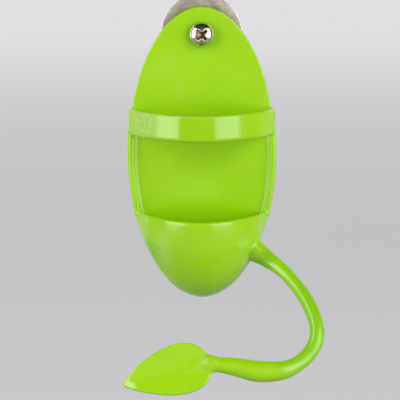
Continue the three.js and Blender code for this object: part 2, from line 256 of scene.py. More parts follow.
leaf_base, leaf_tip = (np.array(PERCH[k][:3]) for k in (LEAF_START, LEAF_END))
LEAF_LENGTH = np.linalg.norm(leaf_tip - leaf_base)
leaf_along = (leaf_tip - leaf_base) / LEAF_LENGTH
leaf_out = np.array([0.0, math.cos(math.radians(LEAF_TILT)), math.sin(math.radians(LEAF_TILT))])
leaf_out -= leaf_along * (leaf_along @ leaf_out)
leaf_out /= np.linalg.norm(leaf_out)
leaf_across = np.cross(leaf_along, leaf_out)
leaf_share = (1 - np.cos(np.linspace(0, math.pi, LEAF_OUTLINE_POINTS))) / 2
leaf_half = LEAF_WIDTH / 2 * np.sin(math.pi * leaf_share ** LEAF_WIDEST) ** LEAF_BLUNTNESS


def leaf_distance(p):
    """The leaf, from its own coordinates: s along it, a to the side of its midrib and b out of its face."""
    s, a, b = ((p - leaf_base) @ d for d in (leaf_along, leaf_across, leaf_out))
    share = np.clip(s / LEAF_LENGTH, 0, 1)
    a = np.abs(a + LEAF_ARCH * 4 * share * (1 - share))
    side = np.full(len(a), np.inf)
    edge = np.stack([leaf_share * LEAF_LENGTH, leaf_half], 1)
    for (s0, w0), (s1, w1) in zip(edge[:-1], edge[1:]):
        ds, dw = s1 - s0, w1 - w0
        t = np.clip(((s - s0) * ds + (a - w0) * dw) / (ds * ds + dw * dw), 0, 1)
        side = np.minimum(side, np.hypot(s - s0 - t * ds, a - w0 - t * dw))
    within = (s > 0) & (s < LEAF_LENGTH) & (a < np.interp(s, edge[:, 0], edge[:, 1]))
    side = np.where(within, -side, side)
    fold = LEAF_FOLD * (np.sqrt(a * a + FOLD_SOFTNESS ** 2) - FOLD_SOFTNESS) / (LEAF_WIDTH / 2)
    curl = np.maximum(s - LEAF_LENGTH + CURL_LENGTH, 0) ** 2 / (2 * CURL_RADIUS)
    b = b - fold + curl
    half_thick = (LEAF_THICKNESS + (LEAF_TIP_THICKNESS - LEAF_THICKNESS) * share) / 2
    rib = RIB_DEPTH * np.exp(-(a / RIB_WIDTH) ** 2) * np.clip(share * RIB_FADE_IN, 0, 1)
    rib = rib * np.clip((RIB_END - share) * RIB_FADE_OUT, 0, 1)
    blade = rounded(side, np.abs(b) - half_thick + rib * (b > 0), LEAF_EDGE)
    t = np.clip(s / NECK_LENGTH, 0, 1)
    neck_radius = PERCH[LEAF_START][3] + (NECK_END_RADIUS - PERCH[LEAF_START][3]) * t
    neck = np.sqrt((s - t * NECK_LENGTH) ** 2 + a * a + b * b) - neck_radius
    return smooth_min(blade, neck, NECK_FILLET)


def moulding(p):
    """The whole green moulding: plate and rails, band, cup, arm and leaf, blended where they meet."""
    x, f, z = p.T
    plate = rounded(oval(x, z), np.abs(f - PLATE_THICKNESS / 2) - PLATE_THICKNESS / 2, PLATE_EDGE)
    plate = rounded(plate, HOLE_RADIUS - np.hypot(x, z), HOLE_EDGE)

    rim = np.abs(oval(x, z) + RAIL_WIDTH / 2) - RAIL_WIDTH / 2
    rails = rounded(rim, np.abs(f - RAIL_FRONT / 2) - RAIL_FRONT / 2, RAIL_EDGE)
    rails = np.maximum(rails, np.maximum(z - BAND_BOTTOM - RAIL_RUN_IN, RIM_Z - RAIL_RUN_IN - z))
    body = smooth_min(plate, rails, RAIL_FILLET)

    behind = WALL_START - f
    band = np.full(len(p), FAR)
    near = (z > BAND_BOTTOM - WORKED_OUT) & (z < BAND_TOP + WORKED_OUT)
    if near.any():
        g = as_distance(band_outline, x[near], f[near], z[near])
        level = np.abs(z[near] - (BAND_TOP + BAND_BOTTOM) / 2) - (BAND_TOP - BAND_BOTTOM) / 2
        hoop = rounded(np.abs(g + WALL / 2) - WALL / 2, level, LIP)
        hoop = np.maximum(hoop, rounded(g, BAND_BOTTOM - z[near], BAND_UNDERSIDE))
        band[near] = np.maximum(hoop, behind[near])
    body = smooth_min(body, band, FILLET)

    cup = np.full(len(p), FAR)
    arm = np.full(len(p), FAR)
    near = z < RIM_Z + WORKED_OUT
    if near.any():
        x, f, z = x[near], f[near], z[near]
        g = np.maximum(as_distance(cup_outline, x, f, z), RIM_Z - CUP_HEIGHT - z)
        shell = rounded(np.abs(g + WALL / 2) - WALL / 2, z - RIM_Z, LIP)
        cup[near] = np.maximum(shell, behind[near])
        perch = arm_distance(p[near])
        blade = (x < leaf_base[0] + LEAF_SIDE_REACH) & (z < leaf_base[2] + LEAF_UP_REACH)
        perch[blade] = smooth_min(perch[blade], leaf_distance(p[near][blade]), NECK_FILLET)
        arm[near] = np.maximum(perch, -(g + WALL * ARM_END_SHARE))
    return smooth_min(body, smooth_min(cup, arm, ARM_FILLET), FILLET)


# Meshing
# Lattice cells to a side of the blocks that are looked at first
BLOCK = 4
# A block counts as close to the surface within this share of its size
CLOSE = 1.15
# Lattice points worked out at a time
BATCH = 150000
# Steps that settle the vertices on the surface, and the longest one as a share of a cell
SETTLING, LONGEST_MOVE = 3, 0.6


def gradient(distance, p, e=0.03):
    """Slope of a distance at each place, e either way."""
    return np.stack([(distance(p + step) - distance(p - step)) / (2 * e) for step in np.eye(3) * e], 1)


def skin(name, distance, low, high, step):
    """A mesh where distance() is 0, by surface nets, with a vertex in each cell that the surface crosses."""
    span = step * BLOCK
    low = np.array(low, float)
    blocks = np.ceil((np.array(high) - low) / span).astype(int)
    centres = np.stack(np.meshgrid(*(np.arange(n) + 0.5 for n in blocks), indexing="ij"), -1).reshape(-1, 3)
    close = np.abs(distance(low + centres * span)) < span * CLOSE
    cells = close.reshape(blocks)
    for axis in range(3):
        cells = np.repeat(cells, BLOCK, axis)
    shape = np.array(cells.shape) + 1
    wanted = np.zeros(shape, bool)
    corners = [(i, j, k) for i in (0, 1) for j in (0, 1) for k in (0, 1)]
    for i, j, k in corners:
        wanted[i:shape[0] - 1 + i, j:shape[1] - 1 + j, k:shape[2] - 1 + k] |= cells
    field = np.full(shape, np.nan, np.float32)
    points = np.argwhere(wanted)
    batches = np.array_split(points, max(1, len(points) // BATCH))
    values = [distance(low + part * step) for part in batches]
    field[wanted] = np.concatenate(values)
    inside = field < 0
    mixed = np.zeros(cells.shape, int)
    for i, j, k in corners:
        mixed += inside[i:shape[0] - 1 + i, j:shape[1] - 1 + j, k:shape[2] - 1 + k]
    active = np.argwhere(cells & (mixed > 0) & (mixed < 8))
    number = np.full(cells.shape, -1, np.int32)
    number[tuple(active.T)] = np.arange(len(active))
    total, count = np.zeros((len(active), 3)), np.zeros((len(active), 1))
    for a in corners:
        for axis in range(3):
            if a[axis]:
                continue
            b = tuple(v + (n == axis) for n, v in enumerate(a))
            va, vb = (field[tuple((active + c).T)].astype(float) for c in (a, b))
            crossed = (va < 0) != (vb < 0)
            share = np.where(crossed, va / np.where(crossed, va - vb, 1), 0)
            spot = np.array(a) + share[:, None] * (np.array(b) - np.array(a))
            total += spot * crossed[:, None]
            count += crossed[:, None]
    vertices = low + (active + total / count) * step
    quads = []
    for axis in range(3):
        u, v = (axis + 1) % 3, (axis + 2) % 3
        first = [slice(None)] * 3
        second = [slice(None)] * 3
        first[axis], second[axis] = slice(None, -1), slice(1, None)
        here, there = inside[tuple(first)], inside[tuple(second)]
        known = ~np.isnan(field[tuple(first)]) & ~np.isnan(field[tuple(second)])
        edges = np.argwhere((here != there) & known)
        edges = edges[(edges[:, u] > 0) & (edges[:, v] > 0)]
        edges = edges[(edges[:, u] < cells.shape[u]) & (edges[:, v] < cells.shape[v])]
        ring = []
        for du, dv in ((1, 1), (0, 1), (0, 0), (1, 0)):
            cell = edges.copy()
            cell[:, u] -= du
            cell[:, v] -= dv
            ring.append(number[tuple(cell.T)])
        ring = np.stack(ring, 1)
        outwards = here[tuple(edges.T)]
        ring[~outwards] = ring[~outwards][:, ::-1]
        quads.append(ring[(ring >= 0).all(1)])
    quads = np.concatenate(quads)
    for _ in range(SETTLING):
        slope = gradient(distance, vertices)
        move = distance(vertices)[:, None] * slope / np.maximum((slope ** 2).sum(1), 0.2)[:, None]
        vertices -= np.clip(move, -step * LONGEST_MOVE, step * LONGEST_MOVE)
    normals = gradient(distance, vertices)
    normals /= np.maximum(np.linalg.norm(normals, axis=1), TINY)[:, None]
    print(f"{name}: {len(points)} lattice points, {len(vertices)} vertices, {len(quads)} faces")
    flip = np.array([1.0, -1.0, 1.0])
    return mesh_object(name, vertices * flip * MM, quads[:, ::-1], normals * flip)


def mesh_object(name, vertices, faces, normals=None):
    """A smooth mesh of quads, or of any faces given as a list, at its place in the frame, in metres."""
    mesh = bpy.data.meshes.new(name)
    if isinstance(faces, np.ndarray):
        mesh.vertices.add(len(vertices))
        mesh.vertices.foreach_set("co", np.asarray(vertices, np.float32).ravel())
        mesh.loops.add(faces.size)
        mesh.loops.foreach_set("vertex_index", faces.astype(np.int32).ravel())
        mesh.polygons.add(len(faces))
        mesh.polygons.foreach_set("loop_start", np.arange(0, faces.size, faces.shape[1], dtype=np.int32))
        mesh.update(calc_edges=True)
    else:
        mesh.from_pydata([tuple(v) for v in vertices], [], [tuple(face) for face in faces])
    mesh.validate()
    mesh.shade_smooth()
    if normals is not None:
        mesh.normals_split_custom_set_from_vertices([tuple(n) for n in normals])
    made = bpy.data.objects.new(name, mesh)
    bpy.context.scene.collection.objects.link(made)
    return made


# Node helpers
class Nodes:
    """A material's node tree, with short calls for the nodes used here."""

    def __init__(self, name):
        self.material = bpy.data.materials.new(name)
        self.material.use_nodes = True
        self.tree = self.material.node_tree
        self.shader = self.tree.nodes["Principled BSDF"]
        self.place = self.add("ShaderNodeTexCoord").outputs["Object"]

    def add(self, kind, values=None, **settings):
        node = self.tree.nodes.new(kind)
        for key, value in settings.items():
            setattr(node, key, value)
        for key, value in (values or {}).items():
            self.put(node.inputs[key], value)
        return node

    def put(self, socket, value):
        if isinstance(value, bpy.types.NodeSocket):
            self.tree.links.new(value, socket)
        else:
            socket.default_value = value

    def math(self, operation, a, b=0.0):
        return self.add("ShaderNodeMath", {0: a, 1: b}, operation=operation).outputs[0]

    def plus(self, a, b):
        return self.math("ADD", a, b)

    def times(self, a, b):
        return self.math("MULTIPLY", a, b)

    def noise(self, scale, detail=2.0, roughness=0.5, vector=None, distortion=0.0):
        values = {"Scale": scale, "Detail": detail, "Roughness": roughness, "Distortion": distortion}
        node = self.add("ShaderNodeTexNoise", values)
        self.put(node.inputs["Vector"], vector or self.place)
        return node.outputs["Fac"]

    def ramp(self, value, low, high, out_low=0.0, out_high=1.0):
        values = {"Value": value, "From Min": low, "From Max": high, "To Min": out_low, "To Max": out_high}
        return self.add("ShaderNodeMapRange", values, interpolation_type="SMOOTHSTEP").outputs["Result"]

    def mix(self, share, a, b):
        node = self.add("ShaderNodeMix", data_type="RGBA")
        self.put(node.inputs["Factor"], share)
        for key, value in (("A", a), ("B", b)):
            socket = [s for s in node.inputs if s.name == key and s.type == "RGBA"][0]
            self.put(socket, value)
        return [s for s in node.outputs if s.type == "RGBA"][0]

    def patch(self, centre, size, edge=0.5):
        """1 inside a soft ellipsoid round centre, falling to 0 at its size, both in millimetres."""
        centre = [v * MM for v in centre]
        shift = self.add("ShaderNodeVectorMath", {0: self.place, 1: centre}, operation="SUBTRACT")
        scale = [1 / (v * MM) for v in size]
        stretch = self.add("ShaderNodeVectorMath", {0: shift.outputs[0], 1: scale}, operation="MULTIPLY")
        length = self.add("ShaderNodeVectorMath", {0: stretch.outputs[0]}, operation="LENGTH")
        return self.ramp(length.outputs["Value"], 1.0, edge)

    def bump(self, height, distance_mm, normal=None):
        node = self.add("ShaderNodeBump", {"Height": height, "Distance": distance_mm * MM, "Strength": 1.0})
        if normal:
            self.put(node.inputs["Normal"], normal)
        return node.outputs["Normal"]


# The green plastic
# Scuffed places on the moulding, rougher and grazed, with pale reflections and highlights painted on: the
# band's ends and edges, the cup's sides and two faint patches on the plate. Centre and reach of each, as x,
# y, z, and how strong it is
SCUFFS_AND_SHEEN = [
    ((-23.0, -14.5, -31.0), (9.0, 12.5, 9.0), 1.15), ((-16.0, -20.0, -27.2), (10.0, 5.0, 1.3), 1.0),
    ((25.5, -7.0, -22.3), (4.5, 9.0, 6.5), 1.0), ((-15.5, -17.0, -80.0), (6.5, 11.0, 14.0), 0.55),
    ((-18.5, -12.0, -90.0), (5.0, 9.0, 9.0), 0.8), ((15.8, -18.5, -76.5), (3.6, 7.0, 4.5), 0.7),
    ((17.0, -11.0, -86.0), (4.0, 8.0, 6.0), 0.8), ((-4.0, -2.0, -58.0), (14.0, 1.5, 10.0), 0.12),
    ((-14.0, -2.0, -12.0), (7.0, 1.5, 6.0), 0.15), ((0.0, -21.0, -27.4), (28.0, 14.0, 0.9), 0.6),
    ((-24.0, -10.0, -37.2), (9.0, 14.0, 1.0), 1.0),
]
# Painted highlights along the cup's two front corners, as thin pale lines, where the surface is a little
# rougher too
CORNER_HIGHLIGHTS = [((-20.7, -12.0, -70.0), (0.5, 10.0, 8.0), 1.0), ((21.9, -10.0, -71.0), (0.5, 10.0, 7.0), 1.0)]
# Painted shade: a deeper green where the arm meets the cup, round the screw, on the cup's left side and low
# half and along the arm, which is rougher there too
PAINTED_SHADE = [
    ((24.0, -10.0, -83.5), (5.5, 7.0, 5.5), 0.8), ((0.0, -8.0, -101.0), (26.0, 30.0, 15.0), 0.22),
    ((-19.5, -9.0, -84.0), (6.5, 15.0, 16.0), 0.5), ((0.0, -2.0, 0.0), (9.5, 2.5, 9.5), 0.5),
    ((35.0, -30.0, -104.0), (20.0, 34.0, 30.0), 0.55),
]
# Matter places: the inner edges of the two rails, and the neck in front of the leaf
DULL = [
    ((-25.4, -2.5, -52.0), (3.0, 3.2, 19.0)), ((25.4, -2.5, -52.0), (3.0, 3.2, 19.0)),
    ((0.8, -44.5, -112.5), (4.5, 4.5, 4.5)),
]
# How soft the edges of those places are, as a share of their reach that is still full
PATCH_FULL, CORNER_HIGHLIGHT_FULL, DULL_FULL = 0.3, 0.2, 0.4
LIME, LIME_CLOUD = (0.315, 0.615, 0.004, 1), (0.345, 0.65, 0.006, 1)
SHADE_GREEN = (0.155, 0.50, 0.004, 1)
FROST_SHEEN, HAZE = (0.50, 0.66, 0.26, 1), (0.44, 0.68, 0.10, 1)
PLASTIC_ROUGH, PLASTIC_ROUGHER = 0.125, 0.17
PLASTIC_IOR = 1.52
# Scratches are noise drawn out along a slanting direction
SCRATCH_TURN, SCRATCH_STRETCH = (0.5, 0.2, 0.9), (1, 1, 24)


def green_plastic():
    """Glossy lime moulding: clouding, mould texture and fine scratches all over, scuffed places with painted
    pale reflections and highlights, and painted shade as a deeper green.
    """
    n = Nodes("green_plastic")
    # The first mask is painted shade, the second scuffs with painted pale reflections and highlights
    deep = scuffs_and_sheen = 0.0
    for centre, reach, strength in PAINTED_SHADE:
        deep = n.math("MAXIMUM", n.times(n.patch(centre, reach, PATCH_FULL), strength), deep)
    for centre, reach, strength in SCUFFS_AND_SHEEN:
        scuffs_and_sheen = n.math("MAXIMUM", n.times(n.patch(centre, reach, PATCH_FULL), strength), scuffs_and_sheen)
    # Painted highlights along the cup's corners
    for centre, reach, strength in CORNER_HIGHLIGHTS:
        scuffs_and_sheen = n.math("MAXIMUM", n.times(n.patch(centre, reach, CORNER_HIGHLIGHT_FULL), strength), scuffs_and_sheen)
    cloud = n.ramp(n.noise(28.0, 3.0), 0.3, 0.7)
    mottle = n.ramp(n.noise(560.0, 5.0, 0.75), 0.42, 0.62)
    drawn = {"Vector": n.place, "Rotation": SCRATCH_TURN, "Scale": SCRATCH_STRETCH}
    across = n.add("ShaderNodeMapping", drawn).outputs[0]
    scratches = n.ramp(n.noise(95.0, 2.0, 0.6, across, 1.4), 0.62, 0.72)
    frost_and_sheen = n.plus(n.times(mottle, 0.55), n.times(scratches, 0.6))
    frost_and_sheen = n.times(scuffs_and_sheen, n.plus(frost_and_sheen, 0.22))
    grain, areas = n.noise(170.0, 4.0, 0.7), n.noise(30.0, 2.0)
    all_over = n.times(n.ramp(grain, 0.50, 0.66), n.ramp(areas, 0.48, 0.66))

    colour = n.mix(cloud, LIME, LIME_CLOUD)
    # Painted shade: deeper green
    colour = n.mix(deep, colour, SHADE_GREEN)
    # Painted pale reflections and highlights on the scuffed places and along the cup's corners
    colour = n.mix(n.times(frost_and_sheen, 0.7), colour, FROST_SHEEN)
    colour = n.mix(n.times(all_over, 0.10), colour, HAZE)
    n.put(n.shader.inputs["Base Color"], colour)

    rough = n.ramp(n.noise(46.0, 3.0), 0.3, 0.7, PLASTIC_ROUGH, PLASTIC_ROUGHER)
    rough = n.plus(rough, n.times(scratches, 0.06))
    rough = n.plus(rough, n.plus(n.times(all_over, 0.06), n.times(deep, 0.24)))
    for centre, reach in DULL:
        rough = n.plus(rough, n.times(n.patch(centre, reach, DULL_FULL), 0.25))
    n.put(n.shader.inputs["Roughness"], n.plus(rough, n.times(frost_and_sheen, 0.28)))

    texture = n.bump(n.noise(420.0, 2.0), 0.006)
    grazes = n.bump(n.times(mottle, scuffs_and_sheen), 0.02, texture)
    n.put(n.shader.inputs["Normal"], n.bump(n.noise(60.0, 1.0), 0.05, grazes))
    n.shader.inputs["IOR"].default_value = PLASTIC_IOR
    return n.material


# The metals
RECESS_BROWN = (0.17, 0.12, 0.065, 1)
# Where the screw's recess turns darker brown deep inside: from and to along Y, and the reach of its round
# patch
RECESS_BROWN_NONE, RECESS_BROWN_FULL = -5.1, -4.5
RECESS_BROWN_CENTRE, RECESS_BROWN_REACH = (0, -4.0, 0), (3.0, 20.0, 3.0)
HAIR_TURN, HAIR_STRETCH, RING_STRETCH = (0, 0.4, 0), (1, 1, 30), 18.0


def metal(name, colour, dull, rough, brushed=0.0, rings=False, recess=False):
    """Plated or stamped metal with uneven tone, pits and hairlines, which are straight or round the axis."""
    n = Nodes(name)
    n.shader.inputs["Metallic"].default_value = 1.0
    part = n.add("ShaderNodeSeparateXYZ", {0: n.place}).outputs
    if rings:
        across = n.math("SQRT", n.plus(n.math("POWER", part["X"], 2.0), n.math("POWER", part["Z"], 2.0)))
        way = n.add("ShaderNodeCombineXYZ", {0: n.times(across, RING_STRETCH), 1: part["Y"]}).outputs[0]
    else:
        drawn = {"Vector": n.place, "Rotation": HAIR_TURN, "Scale": HAIR_STRETCH}
        way = n.add("ShaderNodeMapping", drawn).outputs[0]
    hair = n.ramp(n.noise(160.0, 2.0, 0.6, way, 0.3), 0.42, 0.72)
    tone = n.ramp(n.noise(190.0, 4.0, 0.6), 0.3, 0.75)
    stain = n.ramp(n.noise(70.0, 5.0, 0.65), 0.5, 0.75)
    surface = n.mix(tone, (*colour, 1), (*dull, 1))
    surface = n.mix(n.times(stain, 0.35), surface, (*dull, 1))
    if recess:
        # Darker brown deep in the recess
        inner = n.patch(RECESS_BROWN_CENTRE, RECESS_BROWN_REACH, 0.85)
        recess_brown_share = n.times(n.ramp(part["Y"], RECESS_BROWN_NONE * MM, RECESS_BROWN_FULL * MM), inner)
        surface = n.mix(recess_brown_share, surface, RECESS_BROWN)
    n.put(n.shader.inputs["Base Color"], surface)
    blotches = n.ramp(n.noise(320.0, 3.0), 0.3, 0.7, rough, rough * 1.6)
    rough_here = n.plus(blotches, n.times(hair, brushed))
    n.put(n.shader.inputs["Roughness"], n.plus(rough_here, n.times(stain, 0.06)))
    pits = n.bump(n.noise(900.0, 3.0, 0.7), 0.004)
    n.put(n.shader.inputs["Normal"], n.bump(hair, 0.002 + 0.02 * brushed, pits))
    return n.material


# The green moulding
# The lattice reaches past the plate at the back and top, and past the perch and the leaf elsewhere
MARGIN = 1.5
PERCH_RIGHT = 20.0
LEAF_LEFT, LEAF_FRONT, LEAF_BOTTOM = -31.5, 52.0, -128.0
STEP = 0.4
lowest = (LEAF_LEFT, -MARGIN, LEAF_BOTTOM)
highest = (PLATE_HALF_WIDTH + PERCH_RIGHT, LEAF_FRONT, plate_high[2] + MARGIN)
green = green_plastic()
shell = skin("feeder_moulding", moulding, lowest, highest, STEP)
shell.data.materials.append(green)
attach(shell, "feeder")
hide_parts("back_plate", "guard_band", "food_cup", "perch_arm", "perch_leaf")

# Metal parts
HEAD_RADIUS = head_high[0]
SEAT_GAP = 0.1
SEAT, CROWN = PLATE_THICKNESS + SEAT_GAP, -head_low[1]
DOME_POWER = 2.0
HEAD_EDGE = 0.2
CROSS_REACH, CROSS_SLOT, CROSS_DEPTH, CROSS_TAPER = 2.75, 0.62, 2.3, 0.16
# Half of the diamond where the arms of the cross meet, and how steep the recess's floor is
CROSS_HEART, CROSS_FLOOR = 1.6, 0.2
CROSS_BLEND = 0.2
THREAD_RADIUS, THREAD_PITCH, THREAD_DEPTH = 2.5, 0.8, 0.46
THREAD_END = head_high[1]
THREAD_TURNS, THREAD_ROWS = 72, 10
# The flanks' steepness and the crest's flat, the tip's chamfer and its slope, and the tip's inner rings
FLANK_STEEPNESS, CREST_FLAT = 1.35, 0.12
TIP_CHAMFER, TIP_SLOPE = 0.7, 0.9
TIP_CENTRE, TIP_RING = 0.02, 1.2
WASHER_RADIUS, WASHER_BORE = washer_high[0], 2.75
WASHER_FRONT, WASHER_BACK = washer_low[1], washer_high[1]
WASHER_ROLL, ROLL_STEPS, WASHER_TURNS = 0.16, 6, 144
# Edges sharper than these angles, in degrees, stay sharp
THREAD_SHARP, WASHER_SHARP = 40, 50
NUT_FRONT = nut_low[1]
NUT_HEIGHT, NUT_BASE, NUT_TOP, NUT_BORE = 6.0, 5.5, 4.5, 2.58
NUT_EDGE, BORE_EDGE = 0.45, 0.2
# Round ends of a wing's outline: distance from the axis, height on the nut and radius
WING_ROOT, WING_END = (4.2, 3.8, 2.5), (9.8, 9.8, 3.2)
WING_THICKNESS, WING_TURN = 2.2, math.radians(-24)
WING_EDGE, WING_BLEND = 0.6, 1.3
THUMB_HOLLOW, THUMB_RADIUS = 0.22, 1.9


def screw_head(p):
    """Domed pan head with a cross recess turned 45 degrees."""
    x, f, z = p.T
    r, h = np.hypot(x, z), f - SEAT
    a, b = np.maximum(r, 1e-3) / HEAD_RADIUS, np.maximum(h, 1e-3) / (CROWN - SEAT)
    k = (a ** DOME_POWER + b ** DOME_POWER) ** (1 / DOME_POWER)
    outwards, forwards = (a / k) ** (DOME_POWER - 1), (b / k) ** (DOME_POWER - 1)
    slope = np.hypot(outwards / HEAD_RADIUS, forwards / (CROWN - SEAT))
    head = rounded((k - 1) / np.maximum(slope, 0.05), -h, HEAD_EDGE)
    u, v = np.abs(x + z) / math.sqrt(2), np.abs(x - z) / math.sqrt(2)
    deep = np.clip(CROWN - f, 0, CROSS_DEPTH) * CROSS_TAPER
    arm_u = np.maximum(u - CROSS_REACH + 1.5 * deep, v - CROSS_SLOT + deep * 0.5)
    arm_v = np.maximum(v - CROSS_REACH + 1.5 * deep, u - CROSS_SLOT + deep * 0.5)
    heart = (u + v - CROSS_HEART + deep) / math.sqrt(2)
    recess = smooth_min(smooth_min(arm_u, arm_v, CROSS_BLEND), heart, CROSS_BLEND)
    recess = np.maximum(recess, CROWN - CROSS_DEPTH - f + np.minimum(u + v, 3) * CROSS_FLOOR)
    return smooth_max(head, -recess * 0.9, CROSS_BLEND)


def wing_nut(p):
    """Hub with a bore and two flat wings, turned a little on its axis."""
    x, f, z = p.T
    across = x * math.cos(WING_TURN) + z * math.sin(WING_TURN)
    through = -x * math.sin(WING_TURN) + z * math.cos(WING_TURN)
    h = -f - NUT_FRONT
    r = np.hypot(x, z)
    lean = (NUT_BASE - NUT_TOP) / NUT_HEIGHT
    hub = (r - NUT_BASE + lean * np.clip(h, 0, NUT_HEIGHT)) / math.sqrt(1 + lean * lean)
    hub = rounded(hub, np.abs(h - NUT_HEIGHT / 2) - NUT_HEIGHT / 2, NUT_EDGE)
    (x0, h0, r0), (x1, h1, r1) = WING_ROOT, WING_END
    dx, dh = x1 - x0, h1 - h0
    t = np.clip(((np.abs(across) - x0) * dx + (h - h0) * dh) / (dx * dx + dh * dh), 0, 1)
    outline = np.hypot(np.abs(across) - x0 - t * dx, h - h0 - t * dh) - (r0 + (r1 - r0) * t)
    hollow = THUMB_HOLLOW * np.exp(-((np.hypot(np.abs(across) - x1, h - h1) / THUMB_RADIUS) ** 4))
    wing = rounded(outline, np.abs(through) - WING_THICKNESS / 2 + hollow, WING_EDGE)
    nut = np.maximum(smooth_min(hub, wing, WING_BLEND), -h)
    return rounded(nut, NUT_BORE - r, BORE_EDGE)


def turned(name, radius, along, sharp):
    """A closed turned surface round the Y axis, from radius (rows, turns) and place along Y (rows)."""
    rows, turns = radius.shape
    angle = np.arange(turns) * 2 * math.pi / turns
    y = np.broadcast_to(along[:, None], radius.shape)
    points = np.stack([radius * np.sin(angle), y, radius * np.cos(angle)], -1).reshape(-1, 3)
    i, j = np.meshgrid(np.arange(rows), np.arange(turns), indexing="ij")
    nxt, side = (i + 1) % rows, (j + 1) % turns
    ring = [i * turns + j, i * turns + side, nxt * turns + side, nxt * turns + j]
    faces = np.stack(ring, -1).reshape(-1, 4)
    made = mesh_object(name, points * MM, faces)
    made.data.set_sharp_from_angle(angle=math.radians(sharp))
    return made


def screw_shank():
    """Right-hand thread from under the head to the chamfered tip, closed inside the head and at the tip."""
    angle = np.arange(THREAD_TURNS) * 2 * math.pi / THREAD_TURNS
    start = -PLATE_THICKNESS
    along = np.arange(start, THREAD_END, THREAD_PITCH / THREAD_ROWS)
    phase = (along[:, None] / THREAD_PITCH - angle / (2 * math.pi)) % 1
    flank = np.clip((1 - np.abs(2 * phase - 1)) * FLANK_STEEPNESS - CREST_FLAT, 0, 1)
    chamfer = np.maximum(along - THREAD_END + TIP_CHAMFER, 0)[:, None] * TIP_SLOPE
    radius = np.minimum(THREAD_RADIUS - THREAD_DEPTH * flank, THREAD_RADIUS - chamfer)
    centre, ring = (np.full((1, THREAD_TURNS), r) for r in (TIP_CENTRE, TIP_RING))
    radius = np.concatenate([centre, radius, ring, centre])
    along = np.concatenate([[start], along, [THREAD_END, THREAD_END]])
    return turned("screw_thread", radius, along, THREAD_SHARP)


def washer_ring():
    """Stamped ring: a rolled front edge, a sheared back edge and a deburred bore."""
    profile = [(WASHER_BORE + 0.12, WASHER_FRONT)]
    for k in range(ROLL_STEPS + 1):
        turn = k / ROLL_STEPS * math.pi / 2
        rolled_in, rolled_back = WASHER_ROLL * (1 - math.sin(turn)), WASHER_ROLL * (1 - math.cos(turn))
        profile.append((WASHER_RADIUS - rolled_in, WASHER_FRONT + rolled_back))
    profile += [(WASHER_RADIUS, WASHER_BACK - 0.45), (WASHER_RADIUS - 0.05, WASHER_BACK - 0.1),
                (WASHER_RADIUS - 0.14, WASHER_BACK), (WASHER_BORE + 0.22, WASHER_BACK),
                (WASHER_BORE + 0.06, WASHER_BACK - 0.08), (WASHER_BORE, WASHER_BACK - 0.22),
                (WASHER_BORE, WASHER_FRONT + 0.12)]
    profile = np.array(profile[::-1])
    radius = np.repeat(profile[:, :1], WASHER_TURNS, 1)
    return turned("washer_ring", radius, profile[:, 1], WASHER_SHARP)


NICKEL, NICKEL_DULL = (0.80, 0.71, 0.57), (0.66, 0.56, 0.42)
STEEL, STEEL_DULL = (0.84, 0.77, 0.69), (0.66, 0.60, 0.52)
ZINC, ZINC_DULL = (0.72, 0.73, 0.74), (0.55, 0.55, 0.55)
nickel = metal("nickel_screw", NICKEL, NICKEL_DULL, 0.07, 0.03, recess=True)
steel = metal("steel_washer", STEEL, STEEL_DULL, 0.27, 0.16)
zinc = metal("zinc_nut", ZINC, ZINC_DULL, 0.24, 0.10, rings=True)

COARSER = 1.0
HEAD_STEP, NUT_STEP = 0.11 * COARSER, 0.2 * COARSER
# Room round the head and the nut in their lattices, and how far the nut's wings and back reach
ROOM_ASIDE, ROOM_ALONG = 0.5, 0.6
NUT_SPAN, NUT_BACK = 13.6, 17.5
reach = HEAD_RADIUS + ROOM_ASIDE
head_lowest = (-reach, SEAT - ROOM_ALONG, -reach)
head_highest = (reach, CROWN + ROOM_ALONG, reach)
nut_lowest = (-NUT_SPAN, -NUT_BACK, -NUT_SPAN)
nut_highest = (NUT_SPAN, ROOM_ALONG - NUT_FRONT, NUT_SPAN)
PIECES = (
    (skin("screw_head", screw_head, head_lowest, head_highest, HEAD_STEP),
     "screw", "clamp_screw", "nickel_screw", nickel),
    (screw_shank(), "screw", "clamp_screw", "nickel_screw", nickel),
    (washer_ring(), "washer", "clamp_washer", "steel_washer", steel),
    (skin("wing_nut_body", wing_nut, nut_lowest, nut_highest, NUT_STEP), "nut", "wing_nut", "zinc_nut", zinc),
)
for piece, body, node, slot, material in PIECES:
    piece.data.materials.append(material)
    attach(piece, body)
    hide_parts(node)

# Stage
FLOOR_DROP = 0.30
FLOOR_HALF = 14.0
PAPER, PAPER_MOTTLE = (0.36, 0.36, 0.365, 1), (0.37, 0.37, 0.375, 1)
PAPER_GLOW = (1.0, 1.0, 1.03, 1)
# Glows on the floor, in metres along Y or from the middle plane: start, end, strength at each
NEAR_GLOW = (0.0, 0.45, 0.0, 0.40)
FAR_GLOW = (0.45, 4.0, 0.0, 0.25)
FORWARD_GLOW = (-1.6, -0.8, 0.20, 0.0)
ASIDE_GLOW = (0.8, 2.4, 0.0, 0.34)
ASIDE_FADE = (-0.4, 0.3, 1.0, 0.0)

CORNERS = ((-1, -1), (1, -1), (1, 1), (-1, 1))
floor_corners = [(FLOOR_HALF * i, FLOOR_HALF * j, -FLOOR_DROP) for i, j in CORNERS]
floor = mesh_object("floor", floor_corners, [(0, 1, 2, 3)])


